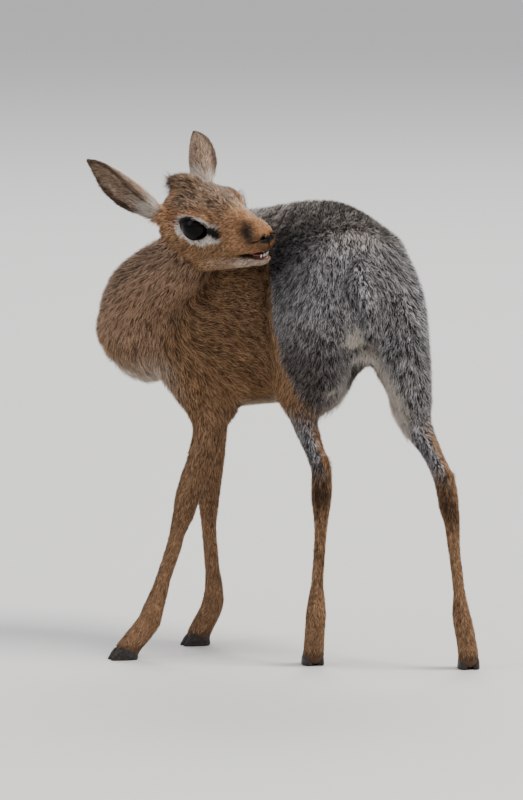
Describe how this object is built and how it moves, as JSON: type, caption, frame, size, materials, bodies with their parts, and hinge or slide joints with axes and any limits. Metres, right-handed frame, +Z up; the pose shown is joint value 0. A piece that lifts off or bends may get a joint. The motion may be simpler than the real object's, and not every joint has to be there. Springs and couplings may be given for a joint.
{
  "type": "dik-dik figure",
  "caption": "Life-size still model of a dik-dik, a small slender antelope, standing with its body turned and its head looking back to its flank.",
  "frame": {"origin": "on the floor under the middle of the whole animal's bounding box", "axes": "+Z up; the line from the hips to the shoulders runs towards -Y, bending to the animal's left, which is +X"},
  "size_m": [0.1857, 0.3639, 0.4521],
  "materials": {
    "coat_tan": "short smooth coat, orange-tan",
    "coat_grey": "short coat, grizzled grey",
    "eye": "glossy near-black",
    "hoof": "smooth dark horn"
  },
  "bodies": {
    "root": {"head": "coat_tan", "ear_left": "coat_tan", "ear_right": "coat_tan", "eye_left": "eye", "eye_right": "eye", "neck": "coat_tan", "trunk": "coat_grey", "tail": "coat_grey", "foreleg_upper_left": "coat_tan", "foreleg_upper_right": "coat_tan", "foreleg_lower_left": "coat_tan", "foreleg_lower_right": "coat_tan", "hindleg_upper_left": "coat_tan", "hindleg_upper_right": "coat_tan", "hindleg_lower_left": "coat_tan", "hindleg_lower_right": "coat_tan", "hoof_front_left_inner": "hoof", "hoof_front_left_outer": "hoof", "hoof_front_right_inner": "hoof", "hoof_front_right_outer": "hoof", "hoof_hind_left_inner": "hoof", "hoof_hind_left_outer": "hoof", "hoof_hind_right_inner": "hoof", "hoof_hind_right_outer": "hoof"}
  },
  "joints": []
}
